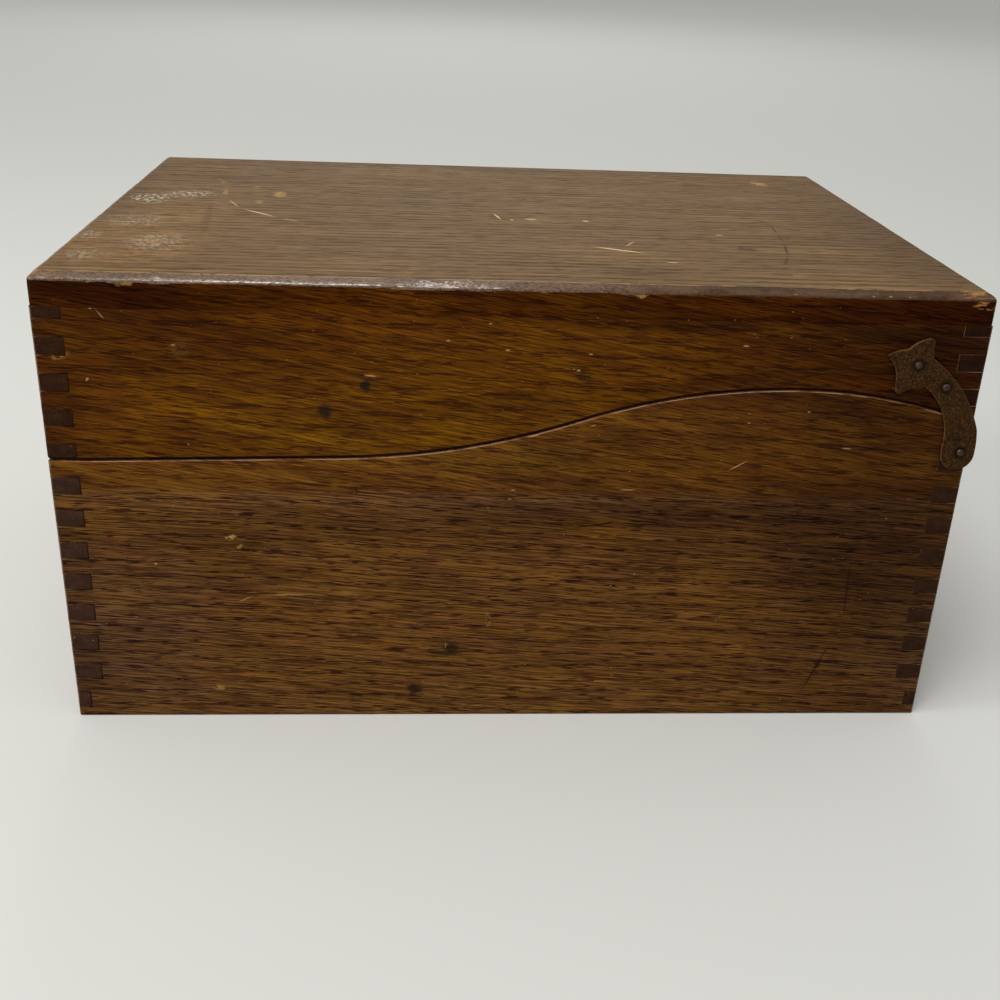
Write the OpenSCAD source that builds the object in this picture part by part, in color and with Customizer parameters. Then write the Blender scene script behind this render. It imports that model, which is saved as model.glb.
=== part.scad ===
// Finger-jointed oak card box with a lid sawn off along a wavy line.
// X runs from the front to the hinge end, Y across the box, Z up, all in millimetres.
// Left and right are those of someone who faces the front, so the right side is the -Y side.

/* [Box] */
// Length over the front and back boards
box_length = 244; // [210:1:300]
// Width over the side boards
box_width = 171; // [120:1:230]
// Height over the top panel
box_height = 128.6; // [122:0.2:150]
// Thickness of the side, front and back boards
wall = 7.6; // [6:0.1:9]
// Thickness of the top panel
top_thick = 8.4; // [6:0.1:12]
// Radius of the rounding along the upper edges of the top panel
top_round = 2.4; // [1:0.1:4]

/* [Bottom panel] */
// Thickness of the bottom panel
bottom_thick = 4.76; // [3:0.02:7]
// Height of the bottom panel's underside above the table
bottom_rise = 3; // [1:0.1:6]
// Depth of the groove that holds the bottom panel
groove_depth = 3.8; // [2:0.1:4.5]
// Gap round the bottom panel's edges in its groove, for the wood to swell
panel_gap = 0.4; // [0.2:0.1:1]

/* [Finger joints] */
// Height of one finger, and of the gap between two fingers
finger_height = 4.7625; // [3.5:0.0125:7]

/* [Lid line] */
// Height of the lid line at the front board
line_front = 79.2; // [72:0.1:84]
// Length of the side boards' edge, behind the front board, that the lid still rests on
rest_length = 3; // [1:0.5:12]
// Climb of the straight run behind this rest, in degrees
run_climb = 1.4; // [0:0.1:2]
// Radius of the hollow that rises from the straight run
hollow_radius = 204; // [160:1:220]
// Radius of the swell in front of the crest
swell_radius = 171; // [140:1:190]
// Radius of the fall behind the crest
fall_radius = 146; // [125:1:165]
// Distance of the crest from the back of the box
crest_from_back = 49.5; // [46:0.5:55]
// Height of the crest above the lid line's front end
crest_rise = 22.6; // [20:0.1:24]
// Saw gap between lid and base, behind the front end where the lid rests
saw_gap = 0.3; // [0.2:0.05:0.8]

/* [Hinge] */
// Distance of the hinge pivot from the back of the box
pivot_from_back = 2.5; // [2.2:0.1:2.8]
// Height of the lid line's rear end above the hinge pivot
pivot_drop = 8; // [7.6:0.1:9]
// Thickness of the strap's sheet
strap_thick = 0.9; // [0.6:0.1:1.4]
// Radius of the shank of the nails and the pivot pins
shank_radius = 0.75; // [0.6:0.05:0.9]
// Length of shank that is in the wood
shank_depth = 6; // [4:0.1:6.5]
// Length of the pointed end of a shank
point_length = 1.6; // [1:0.1:2.5]
// Radius of a nail's round head
head_radius = 1.25; // [1:0.05:1.8]
// Height of a nail's round head
head_height = 0.8; // [0.5:0.05:1.1]
// Gap round a pivot pin in the strap's hole
pivot_clearance = 0.05; // [0.03:0.01:0.08]
// Gap between the strap and the head of a pivot pin
pivot_play = 0.1; // [0.05:0.05:0.2]

/* [Hidden] */
$fn = 64;
// Length by which a cutting shape runs past what it cuts
past = 1;

oak = [0.36, 0.22, 0.10];
oak_top = [0.33, 0.23, 0.15];
bronze = [0.30, 0.20, 0.13];
nail_metal = [0.38, 0.30, 0.22];

// Upper edge of the walls, under the top panel
wall_top = box_height - top_thick;

// Numbers of the fingers: finger 0 starts at the lid line, so the saw cut splits none
finger_pitch = 2 * finger_height;
finger_numbers = [-ceil(line_front / finger_pitch) : floor((wall_top - line_front) / finger_pitch)];

function finger_low(n) = max(0, line_front + n * finger_pitch);
function finger_high(n) = min(wall_top, line_front + n * finger_pitch + finger_height);

// A finger that crosses the bottom groove is thinned to the wood outside the groove
function meets_groove(n) = finger_high(n) > bottom_rise && finger_low(n) < bottom_rise + bottom_thick;
function finger_reach(n) = meets_groove(n) ? wall - groove_depth : wall;

// Lid line: a level rest, a straight run, a hollow arc tangent to it, a swell up to the crest, and a fall.
// The hollow's centre is as far along the run as makes the hollow touch the swell's circle.
crest = [box_length - crest_from_back, line_front + crest_rise];
run_start = [wall + rest_length, line_front];
run_way = [cos(run_climb), sin(run_climb)];
run_up = [-sin(run_climb), cos(run_climb)];
swell_centre = crest - [0, swell_radius];
fall_centre = crest - [0, fall_radius];
centre_gap = hollow_radius + swell_radius;
to_swell = run_start + hollow_radius * run_up - swell_centre;
run_length = -to_swell * run_way - sqrt(pow(to_swell * run_way, 2) - to_swell * to_swell + pow(centre_gap, 2));
hollow_start = run_start + run_length * run_way;
hollow_centre = hollow_start + hollow_radius * run_up;
hollow_end = hollow_centre + (swell_centre - hollow_centre) * hollow_radius / centre_gap;
line_back = fall_centre[1] + sqrt(pow(fall_radius, 2) - pow(crest_from_back, 2));

pivot = [box_length - pivot_from_back, line_back - pivot_drop];

// Corners of the strap as [back, up, bulge], measured from the pivot. The bulge is how far the edge
// to the next corner swells out from a straight line, and a hollow edge has a negative one.
strap_corners = [
    [4.0, -0.2, 0.2],
    [3.4, 6.6, 2.0],
    [-12.1, 26.3, -0.2],
    [-12.6, 30.5, 0.5],
    [-14.2, 31.8, 0.45],
    [-19.3, 28.7, 0.4],
    [-24.5, 27.0, -0.4],
    [-21.3, 21.7, 0.1],
    [-21.0, 18.0, 0.6],
    [-19.4, 16.6, -0.1],
    [-16.6, 18.2, 0.5],
    [-13.5, 18.8, -2.4],
    [-5.3, 2.6, 0.15],
    [-5.2, -0.2, 4.9]
];
// Largest turn between two points of the strap's outline, in degrees
arc_step = 12;

// Points of the arc from corner a to corner b that swells to the right of the way from a to b
function arc_points(a, b) =
    let (
        chord = [b[0] - a[0], b[1] - a[1]],
        half = norm(chord) / 2,
        side = [chord[1], -chord[0]] / (2 * half),
        middle = [a[0] + b[0], a[1] + b[1]] / 2,
        radius = (half * half + a[2] * a[2]) / (2 * a[2]),
        centre = middle + (a[2] - radius) * side,
        turn = 4 * atan(a[2] / half),
        start = [a[0], a[1]] - centre,
        steps = ceil(abs(turn) / arc_step)
    )
    [for (i = [0 : steps - 1])
        let (t = turn * i / steps)
        centre + [start[0] * cos(t) - start[1] * sin(t), start[0] * sin(t) + start[1] * cos(t)]
    ];

strap_points = [
    for (i = [0 : len(strap_corners) - 1])
    each arc_points(strap_corners[i], strap_corners[(i + 1) % len(strap_corners)])
];

// Places of a strap's two lid nails, measured from the pivot
lid_nails = [[-15.9, 24.5], [-7.4, 18.5]];

// Length over the walls and the strap's round end, which reaches past the back board
strap_overhang = max([for (p = strap_points) p[0]]) - pivot_from_back;
whole_length = box_length + strap_overhang;

// Moves the box from its front right-hand corner to the middle of its bounding box
module place() {
    translate([-whole_length / 2, -box_width / 2, 0]) children();
}

// The same piece on the left-hand side
module on_left() {
    translate([0, box_width, 0]) mirror([0, 1, 0]) children();
}

// Extrudes a profile in X and Z across the box
module across() {
    translate([0, box_width + past, 0]) rotate([90, 0, 0]) linear_extrude(box_width + 2 * past) children();
}

// Block from below the table up to a height, across the box
module block(from_x, to_x, height) {
    across() translate([from_x, -past]) square([to_x - from_x, height + past]);
}

// Long cylinder across the box, for the round stretches of the lid line
module roller(centre, radius) {
    across() translate(centre) circle(radius, $fn = 360);
}

// Everything under the lid line, which lift raises behind its rest
module under_line(lift) {
    block(-past, run_start[0] + past, line_front);
    translate([0, 0, lift]) {
        difference() {
            across() polygon([
                [run_start[0], -past], run_start, hollow_start, hollow_end, [hollow_end[0], -past]
            ]);
            roller(hollow_centre, hollow_radius);
        }
        intersection() {
            roller(swell_centre, swell_radius);
            block(hollow_end[0] - past, crest[0], crest[1] + past);
        }
        intersection() {
            roller(fall_centre, fall_radius);
            block(crest[0] - past, box_length + past, crest[1] + past);
        }
    }
}

// Keeps the part of a board that stays with the base
module sawn_base() {
    intersection() {
        children();
        under_line(0);
    }
}

// Keeps the part of a board that goes with the lid
module sawn_lid() {
    difference() {
        children();
        under_line(saw_gap);
    }
}

// Space for the bottom panel, to the full depth of the grooves
module bottom_slot() {
    inset = wall - groove_depth;
    translate([inset, inset, bottom_rise])
        cube([box_length - 2 * inset, box_width - 2 * inset, bottom_thick]);
}

// Right-hand side board before the saw cut, notched at both ends for the other boards' fingers
module side_blank() {
    difference() {
        cube([box_length, wall, wall_top]);
        for (n = finger_numbers) {
            notch = [finger_reach(n) + past, wall + 2 * past, finger_high(n) - finger_low(n)];
            translate([-past, -past, finger_low(n)]) cube(notch);
            translate([box_length - finger_reach(n), -past, finger_low(n)]) cube(notch);
        }
    }
}

// Right-hand side board with its groove and the holes of the nails and the pivot pin
module side_board() {
    difference() {
        side_blank();
        bottom_slot();
        for (spot = lid_nails) at_strap(spot) shank();
        at_strap([0, 0]) shank();
    }
}

// Front board before the saw cut: its fingers fill the notches of both side boards
module end_board() {
    difference() {
        cube([wall, box_width, wall_top]);
        side_blank();
        on_left() side_blank();
        bottom_slot();
    }
}

module back_board() {
    translate([box_length, 0, 0]) mirror([1, 0, 0]) end_board();
}

module bottom_panel() {
    inset = wall - groove_depth + panel_gap;
    translate([inset, inset, bottom_rise])
        cube([box_length - 2 * inset, box_width - 2 * inset, bottom_thick]);
}

// Wood outside a rounded edge that runs along X from the origin, with the board at +Y and below
module edge_cutter(length) {
    rotate([90, 0, 90]) translate([0, 0, -past]) linear_extrude(length + 2 * past)
        difference() {
            translate([-past, -top_round]) square([top_round + past, top_round + past]);
            translate([top_round, -top_round]) circle(top_round);
        }
}

module top_panel() {
    difference() {
        translate([0, 0, wall_top]) cube([box_length, box_width, top_thick]);
        translate([0, 0, box_height]) edge_cutter(box_length);
        translate([box_length, box_width, box_height]) rotate([0, 0, 180]) edge_cutter(box_length);
        translate([0, box_width, box_height]) rotate([0, 0, -90]) edge_cutter(box_width);
        translate([box_length, 0, box_height]) rotate([0, 0, 90]) edge_cutter(box_width);
    }
}

// Puts a piece that points along -Z at a spot on the right side face, to point into the wood
module at_strap(spot) {
    translate([pivot[0] + spot[0], 0, pivot[1] + spot[1]]) rotate([90, 0, 0]) children();
}

// Pointed shank below the origin, as deep as it sits in the wood
module shank() {
    straight = shank_depth - point_length;
    translate([0, 0, -straight]) cylinder(r = shank_radius, h = straight);
    translate([0, 0, -shank_depth]) cylinder(r1 = 0, r2 = shank_radius, h = point_length);
}

// Nail whose head sits at a height above the wood
module nail(head_base) {
    ball_radius = (pow(head_radius, 2) + pow(head_height, 2)) / (2 * head_height);
    shank();
    cylinder(r = shank_radius, h = head_base);
    intersection() {
        translate([0, 0, head_base + head_height - ball_radius]) sphere(ball_radius);
        translate([0, 0, head_base]) cylinder(r = head_radius + past, h = head_height + past);
    }
}

module strap() {
    at_strap([0, 0]) difference() {
        linear_extrude(strap_thick) polygon(strap_points);
        translate([0, 0, -past])
            cylinder(r = shank_radius + pivot_clearance, h = strap_thick + 2 * past);
        for (spot = lid_nails)
            translate([spot[0], spot[1], -past]) cylinder(r = shank_radius, h = strap_thick + 2 * past);
    }
}

module lid_nail_pair() {
    for (spot = lid_nails) at_strap(spot) nail(strap_thick);
}

module pivot_pin() {
    at_strap([0, 0]) nail(strap_thick + pivot_play);
}

module base_side_right() { color(oak) place() sawn_base() side_board(); }
module base_side_left() { color(oak) place() on_left() sawn_base() side_board(); }
module base_front() { color(oak) place() sawn_base() end_board(); }
module base_back() { color(oak) place() sawn_base() back_board(); }
module base_bottom() { color(oak) place() bottom_panel(); }
module lid_side_right() { color(oak) place() sawn_lid() side_board(); }
module lid_side_left() { color(oak) place() on_left() sawn_lid() side_board(); }
module lid_front() { color(oak) place() sawn_lid() end_board(); }
module lid_back() { color(oak) place() sawn_lid() back_board(); }
module lid_top() { color(oak_top) place() top_panel(); }
module hinge_strap_right() { color(bronze) place() strap(); }
module hinge_strap_left() { color(bronze) place() on_left() strap(); }

module strap_nails() {
    color(nail_metal) place() {
        lid_nail_pair();
        on_left() lid_nail_pair();
    }
}

module pivot_pins() {
    color(nail_metal) place() {
        pivot_pin();
        on_left() pivot_pin();
    }
}

base_side_right();
base_side_left();
base_front();
base_back();
base_bottom();
lid_side_right();
lid_side_left();
lid_front();
lid_back();
lid_top();
hinge_strap_right();
hinge_strap_left();
strap_nails();
pivot_pins();
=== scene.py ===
import math

import bmesh
import bpy
import numpy as np
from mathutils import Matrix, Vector, geometry


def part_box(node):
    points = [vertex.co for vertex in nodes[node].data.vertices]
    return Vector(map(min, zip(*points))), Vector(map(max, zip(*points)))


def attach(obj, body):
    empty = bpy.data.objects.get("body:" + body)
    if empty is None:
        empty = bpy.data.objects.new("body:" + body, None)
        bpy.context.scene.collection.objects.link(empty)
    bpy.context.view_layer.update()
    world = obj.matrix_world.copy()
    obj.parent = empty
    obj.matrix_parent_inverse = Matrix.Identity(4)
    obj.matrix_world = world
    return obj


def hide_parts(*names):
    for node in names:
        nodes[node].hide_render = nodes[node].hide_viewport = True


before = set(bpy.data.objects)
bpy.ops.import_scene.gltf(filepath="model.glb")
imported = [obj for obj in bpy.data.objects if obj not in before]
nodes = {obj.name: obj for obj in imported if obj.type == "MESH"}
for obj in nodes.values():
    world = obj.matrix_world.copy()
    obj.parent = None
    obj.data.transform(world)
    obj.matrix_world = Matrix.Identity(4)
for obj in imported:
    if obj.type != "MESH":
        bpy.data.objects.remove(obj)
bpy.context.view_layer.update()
print("frame loaded:", len(nodes), "nodes")

mm = 0.001

# The box itself, in millimetres: x runs from the front (-) to the hinge end (+), z up.
box = {
    "frontX": -122.75,
    "backX": 121.25,
    "sideY": 85.5,
    "wallTop": 120.2,
    "top": 128.6,
    "lineFront": 79.2,
    "sawGap": 0.3,
}

# The lid line: where each stretch starts, and the circles that it follows.
lidLine = {
    "runStart": 10.6,
    "climb": 1.4,
    "hollowStart": 75.544,
    "hollowEnd": 137.983,
    "crest": 194.5,
    "hollow": (70.56, 284.73, 204),
    "swell": (194.5, -69.2, 171),
    "fall": (194.5, -44.2, 146),
}


# Height of the lid line over the table at a distance x behind the front: level, straight, hollow
# arc, swelling arc up to the crest, falling arc behind it.
def lineHeight(x):
    def arc(circle, sign):
        middle, height, radius = circle
        return height + sign * np.sqrt(np.maximum(radius ** 2 - (x - middle) ** 2, 0))

    run = box["lineFront"] + (x - lidLine["runStart"]) * math.tan(math.radians(lidLine["climb"]))
    level = np.full_like(x, box["lineFront"])
    return np.select(
        [x < lidLine[end] for end in ("runStart", "hollowStart", "hollowEnd", "crest")],
        [level, run, arc(lidLine["hollow"], -1), arc(lidLine["swell"], 1)],
        arc(lidLine["fall"], 1),
    )


# Smooth seeded unevenness round 0, seldom past -2 or 2: a sum of plane waves in random directions, size
# long in millimetres.
def ripple(x, y, seed, size, waves=14):
    dice = np.random.RandomState(seed)
    turn = dice.uniform(0, 2 * np.pi, waves)
    pace = dice.uniform(0.6, 1.6, waves) * 2 * np.pi / size
    start = dice.uniform(0, 2 * np.pi, waves)
    x, y = np.asarray(x, float), np.asarray(y, float)
    phase = x[..., None] * pace * np.cos(turn) + y[..., None] * pace * np.sin(turn) + start
    return np.cos(phase).sum(-1) / math.sqrt(waves)


# 0 up to start and 1 from a length beyond it, straight between.
def rising(value, start, length):
    return np.clip((value - start) / length, 0, 1)


# 1 at the middle, falling straight to 0 at a reach on both sides.
def nearTo(value, middle, reach):
    return np.clip(1 - np.abs(value - middle) / reach, 0, 1)


# One number, or a row of them, for each point, corner or face of a mesh.
def readAll(items, name, kind, width=1):
    values = np.zeros(len(items) * width, kind)
    items.foreach_get(name, values)
    return values.reshape(-1, width) if width > 1 else values


def smoothFaces(mesh):
    mesh.polygons.foreach_set("use_smooth", np.ones(len(mesh.polygons), bool))


# How pale (above 0) or dark (below 0) each point is, for the materials: rubbed wear and grime, with a
# painted highlight on the base's rim at the lid line and on the strap's rim, and painted shadow in the lid
# line's gap.
def setWearAndShading(mesh, wearAndShading):
    values = wearAndShading.astype(np.float32)
    mesh.attributes.new("wearAndShading", "FLOAT", "POINT").data.foreach_set("value", values)


# Makes an object of points in millimetres, at the origin of the frame.
def newPiece(name, points, faces):
    mesh = bpy.data.meshes.new(name)
    mesh.from_pydata((np.asarray(points, float) * mm).tolist(), [], faces)
    mesh.update()
    smoothFaces(mesh)
    piece = bpy.data.objects.new(name, mesh)
    bpy.context.scene.collection.objects.link(piece)
    return piece


# The material's nodes that a socket among the values belongs to.
def treeOf(*values):
    return next(value.id_data for value in values if isinstance(value, bpy.types.NodeSocket))


# Each of these helpers adds one node beside those that feed it, and gives its output.
def addNode(kind, *values, tree=None, **settings):
    made = (treeOf(*values) if tree is None else tree).nodes.new("ShaderNode" + kind)
    for key, value in settings.items():
        setattr(made, key, value)
    for socket, value in zip(made.inputs, values):
        feed(socket, value)
    return made


def feed(socket, value):
    if isinstance(value, bpy.types.NodeSocket):
        socket.id_data.links.new(value, socket)
    else:
        socket.default_value = value


def calc(operation, *values):
    return addNode("Math", *values, operation=operation).outputs[0]


# The value times a factor, and a second value added.
def scaled(value, factor, added):
    return calc("MULTIPLY_ADD", value, factor, added)


def vectorCalc(operation, *values):
    made = addNode("VectorMath", *values, operation=operation)
    return made.outputs["Value" if operation == "LENGTH" else "Vector"]


def joinXyz(x, y, z=0):
    return addNode("CombineXYZ", x, y, z).outputs[0]


# Noise whose grains are as large as size says, in millimetres along each axis of the vector.
def grainNoise(vector, size, detail=2, roughness=0.5, shift=0):
    grid = vectorCalc("MULTIPLY", vector, tuple(1 / s for s in size))
    if shift:
        grid = vectorCalc("ADD", grid, (shift, shift * 1.7, shift * 0.6))
    made = addNode("TexNoise", grid, noise_dimensions="3D")
    for socket, value in (("Scale", 1), ("Detail", detail), ("Roughness", roughness)):
        made.inputs[socket].default_value = value
    return made.outputs["Fac"]


# Smooth step: 0 below low, 1 above high, or the other way round where low is the larger.
def step(value, low, high, top=1):
    made = addNode("MapRange", value, interpolation_type="SMOOTHSTEP", clamp=True)
    if low <= high:
        ends = (low, high, 0, top)
    else:
        ends = (high, low, top, 0)
    for socket, end in zip(("From Min", "From Max", "To Min", "To Max"), ends):
        made.inputs[socket].default_value = end
    return made.outputs["Result"]


def mixColour(share, below, above, kind="MIX"):
    tree = treeOf(share, below, above)
    made = addNode("Mix", tree=tree, data_type="RGBA", blend_type=kind)
    for socket, value in ((made.inputs[0], share), (made.inputs[6], below), (made.inputs[7], above)):
        feed(socket, value)
    return made.outputs[2]


# The colour with a picked one laid over it.
def layered(share, colour, picked):
    return mixColour(share, colour, paint(*picked))


# The colour made lighter or darker by one number at each place.
def shaded(colour, shade):
    return mixColour(1, colour, joinXyz(shade, shade, shade), "MULTIPLY")


def times(*values):
    total = values[0]
    for value in values[1:]:
        total = calc("MULTIPLY", total, value)
    return total


# A colour as picked on a screen, 0 to 255, made linear for the shader.
def paint(red, green, blue):
    def linear(c):
        c = c / 255
        return c / 12.92 if c <= 0.04045 else ((c + 0.055) / 1.055) ** 2.4

    return (linear(red), linear(green), linear(blue), 1)


def colourRamp(value, stops):
    made = addNode("ValToRGB", value)
    band = made.color_ramp
    while len(band.elements) < len(stops):
        band.elements.new(0.5)
    for element, (place, colour) in zip(band.elements, stops):
        element.position = place
        element.color = paint(*colour)
    return made.outputs["Color"]


# Marks on a flat face, each (p, q, half length, half width, strength, turn in degrees where it has
# one), soft at the rim. The result is the strongest mark at each place.
def markField(plane, marks, rim):
    total = None
    for p, q, length, width, strength, *turn in marks:
        place = addNode("Mapping", plane, vector_type="TEXTURE")
        place.inputs["Location"].default_value = (p, q, 0)
        place.inputs["Rotation"].default_value = (0, 0, math.radians(turn[0] if turn else 0))
        place.inputs["Scale"].default_value = (length, width, 1)
        spot = step(vectorCalc("LENGTH", place.outputs[0]), 1, rim, strength)
        total = spot if total is None else calc("MAXIMUM", total, spot)
    return total


def startMaterial(name):
    made = bpy.data.materials.new(name)
    made.use_nodes = True
    tree = made.node_tree
    tree.nodes.clear()
    shader = addNode("BsdfPrincipled", tree=tree)
    result = addNode("OutputMaterial", tree=tree)
    feed(result.inputs["Surface"], shader.outputs[0])
    return made, tree, shader


# Object coordinates in millimetres, with their three parts.
def places(tree):
    spot = addNode("TexCoord", tree=tree).outputs["Object"]
    spot = vectorCalc("MULTIPLY", spot, (1 / mm,) * 3)
    return spot, addNode("SeparateXYZ", spot).outputs


def addBump(shader, height, strength, distance):
    bump = addNode("Bump", tree=treeOf(height))
    bump.inputs["Strength"].default_value = strength
    bump.inputs["Distance"].default_value = distance
    feed(bump.inputs["Height"], height)
    feed(shader.inputs["Normal"], bump.outputs[0])


# What a user would change for all boards; each board's own dictionary adds to it or overrides it.
oak = {
    "tones": [(0, (98, 62, 24)), (0.5, (110, 72, 28)), (1, (120, 80, 32))],
    "toneSize": (90, 12, 12),
    "ruddyColour": (98, 62, 36),
    "ruddySize": (22, 4, 4),
    "ruddyLevel": (0.42, 0.62),
    "ruddyShare": 0.5,
    "wave": 1.2,
    "waveSize": (60, 22, 22),
    "lineSize": (14, 0.34, 0.34),
    "lineSlant": 0.09,
    "lineLevel": (0.42, 0.54),
    "lineShare": 0.75,
    "brightColour": (132, 94, 44),
    "brightLevel": (0.54, 0.68),
    "brightShare": 0.52,
    "streakColour": (52, 28, 10),
    "streakSize": (22, 0.8, 0.8),
    "streakSlant": 0.1,
    "streakLevel": (0.54, 0.66),
    "streakShare": 0.35,
    "fleckColour": (41, 18, 10),
    "fleckSize": (5.5, 0.36, 0.36),
    "fleckSlant": 0.03,
    "fleckLevel": (0.6, 0.66),
    "fleckShare": 0.95,
    "fibreSize": (9, 0.26, 0.26),
    "ringGap": 4.1,
    "ringShare": 0,
    "gather": 0.1,
    "brokenRingSize": (30, 3, 3),
    "wanderSize": (16, 16, 3),
    "speckSize": (0.5, 0.5, 0.5),
    "smudgeSize": (3, 3, 2.2),
    "endLevel": (0.55, 0.85),
    "nickSize": (1.3, 0.5, 0.5),
    "nickLevel": (0.79, 0.81),
    "cloudSize": (50, 30, 30),
    "stainAndShadingDrift": 30,
    "stainAndShadingRim": 0.05,
    "markJog": 3,
    "jogSize": (1.8, 1.8, 1.8),
    "markRim": 0.35,
    "patchSize": (9, 5, 5),
    "glitterSize": (1.3, 0.4, 0.4),
    "endColour": (44, 25, 17),
    "wearAndHighlightColour": (160, 134, 114),
    "wearAndHighlightShare": 0.8,
    "bare": False,
    "insideTones": [(0, (116, 78, 40)), (0.5, (140, 98, 54)), (1, (160, 116, 68))],
    "roughness": 0.45,
    "specular": 0.035,
    "bump": 0.0001,
    "polish": 0,
    "stainsAndShading": {},
    "marks": {},
}

# Some of these marks are painted highlights on the top's front edge, and the darkest colour also lays
# painted shadow in the lid line's gap.
markColours = {
    "pale": (184, 144, 98),
    "scratch": (206, 174, 132),
    "orange": (160, 112, 60),
    "amber": (162, 124, 64),
    "white": (172, 162, 138),
    "silver": (196, 184, 170),
    "dark": (30, 21, 16),
    "cloud": (60, 38, 26),
    "grime": (20, 10, 6),
}

# Kinds of mark that are broken up: how large the pieces are in millimetres, and the noise level that
# shows them.
brokenMarks = {
    "white": ((1.1, 1.2, 1.2), 0.5),
    "orange": ((4.5, 0.9, 0.9), 0.5),
    "amber": ((1.6, 1.8, 1.8), 0.4),
    "silver": ((0.8, 0.6, 0.6), 0.5),
    "cloud": ((3, 0.9, 0.9), 0.42),
}
# Broad soft stains multiply the wood's colour, and so do painted shade and light: dusk and shade are partly
# darker wood and partly painted shade, chiefly towards the hinge end and near the lid line, and light is
# painted light.

# Broad soft stains multiply the wood's colour.
stainAndShadingColours = {
    "dusk": (0.42, 0.34, 0.38, 1),
    "ruddy": (1, 0.8, 0.6, 1),
    "gold": (1.42, 1.42, 1, 1),
    "light": (1.36, 1.52, 1.52, 1),
    "shade": (0.42, 0.39, 0.42, 1),
    "umber": (0.88, 0.96, 1.6, 1),
    "olive": (0.84, 0.98, 1, 1),
    "crimson": (1, 0.72, 0.8, 1),
}


# The wood along its grain: broad tones, reddish patches, thin dark lines, broader streaks, dark flecks
# gathered in rows in the early wood of each ring, and fine fibre. Each is noise on coordinates that a
# slow wave bends and that lean by their slant.
def woodPattern(look, along, across, through):
    shift = tuple(look["seed"] * apart for apart in (97, 41, 23))
    raw = vectorCalc("ADD", joinXyz(along, across, through), shift)
    wave = calc("SUBTRACT", grainNoise(raw, look["waveSize"], 1.5), 0.5)
    bend = times(wave, look["wave"] * 2)

    def leaning(kind):
        return vectorCalc("ADD", raw, joinXyz(0, scaled(along, look[kind], bend)))

    streakWood, lineWood, fleckWood = map(leaning, ("streakSlant", "lineSlant", "fleckSlant"))
    tone = grainNoise(streakWood, look["toneSize"], 3, 0.6, 3.1)
    ruddy = grainNoise(fleckWood, look["ruddySize"], 3, 0.6, 53)
    line = grainNoise(lineWood, look["lineSize"], 3, 0.6, 61)
    fibre = grainNoise(lineWood, look["fibreSize"], 2, 0.65, 7.7)
    streak = grainNoise(streakWood, look["streakSize"], 2.5, 0.55, 11.3)
    acrossWood = scaled(along, look["fleckSlant"], calc("ADD", across, bend))
    ring = scaled(tone, 1.5, calc("DIVIDE", acrossWood, look["ringGap"]))
    early = step(calc("PINGPONG", ring, 0.5), 0.25, 0.05)
    fleck = grainNoise(fleckWood, look["fleckSize"], 1.6, 0.5, 17.9)
    fleck = step(scaled(early, look["gather"], fleck), *look["fleckLevel"])

    layers = [
        (step(ruddy, *look["ruddyLevel"], look["ruddyShare"]), "ruddyColour"),
        (step(line, *look["lineLevel"][::-1], look["lineShare"]), "streakColour"),
        (step(line, *look["brightLevel"], look["brightShare"]), "brightColour"),
        (step(streak, *look["streakLevel"], look["streakShare"]), "streakColour"),
        (times(fleck, look["fleckShare"]), "fleckColour"),
    ]
    if look["ringShare"]:
        broken = step(grainNoise(streakWood, look["brokenRingSize"], 2, 0.6, 37), 0.3, 0.6)
        layers.insert(-1, (times(early, broken, look["ringShare"]), "streakColour"))
    colour = colourRamp(step(tone, 0.3, 0.7), look["tones"])
    for share, picked in layers:
        colour = layered(share, colour, look[picked])
    return colour, fleck, fibre, tone


# The paler wood on the box's inner faces: all of a bare board, or what lies within reach of its middle.
def insideWood(look, parts, shade, colour, fleck, tone):
    if look["bare"]:
        share = 1.0
    elif "insideReach" in look:
        axis, middle, reach = look["insideReach"]
        share = calc("ABSOLUTE", calc("SUBTRACT", parts[axis], middle))
        share = step(share, reach + 0.1, reach)
    else:
        return colour
    pale = colourRamp(step(tone, 0.25, 0.75), look["insideTones"])
    pale = layered(times(fleck, 0.6), shaded(pale, shade), look["fleckColour"])
    return mixColour(share, colour, pale)


# The band round the top panel, up to an uneven distance from the edge: worn bare wood whose grey is
# partly a painted reflection, darker towards the hinge end where that painted reflection fades, with a
# broken pale ridge and small pits along its inner rim.
def edgeBand(look, spot, parts, cloud, colour):
    band, x = look["band"], parts["x"]
    fromSide = calc("SUBTRACT", box["sideY"], calc("ABSOLUTE", parts["y"]))
    fromFront = calc("SUBTRACT", x, box["frontX"])
    fromEnd = calc("MINIMUM", fromFront, calc("SUBTRACT", box["backX"], x))
    depth = calc("MINIMUM", fromSide, scaled(fromEnd, *band["atEnds"]))
    depth = calc("ADD", depth, scaled(cloud, band["uneven"], -band["uneven"] / 2))
    # grey bare wood with a painted reflection, fading to the darker far colour towards the hinge end
    tone = layered(step(x, *band["fade"]), paint(*band["colour"]), band["farColour"])
    grain = grainNoise(spot, band["grainSize"], 2, 0.8, 67)
    tone = shaded(tone, scaled(grain, *band["grainShade"]))
    share = step(depth, band["width"] + 0.4, band["width"] - 0.2, band["share"])
    colour = mixColour(share, colour, tone)
    off = calc("ABSOLUTE", calc("SUBTRACT", depth, band["width"] + 0.2))
    ridge = step(grainNoise(spot, band["ridgeSize"], 3, 0.7, 73), 0.42, 0.52)
    ridge = times(step(off, 0.45, 0.1), ridge, 0.8)
    colour = layered(ridge, colour, band["ridge"])
    pit = step(grainNoise(spot, band["pitSize"], 2, 0.6, 79), 0.6, 0.66)
    pit = times(step(off, 0.5, 0.15), pit, 0.8)
    return layered(pit, colour, look["fleckColour"])
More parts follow.
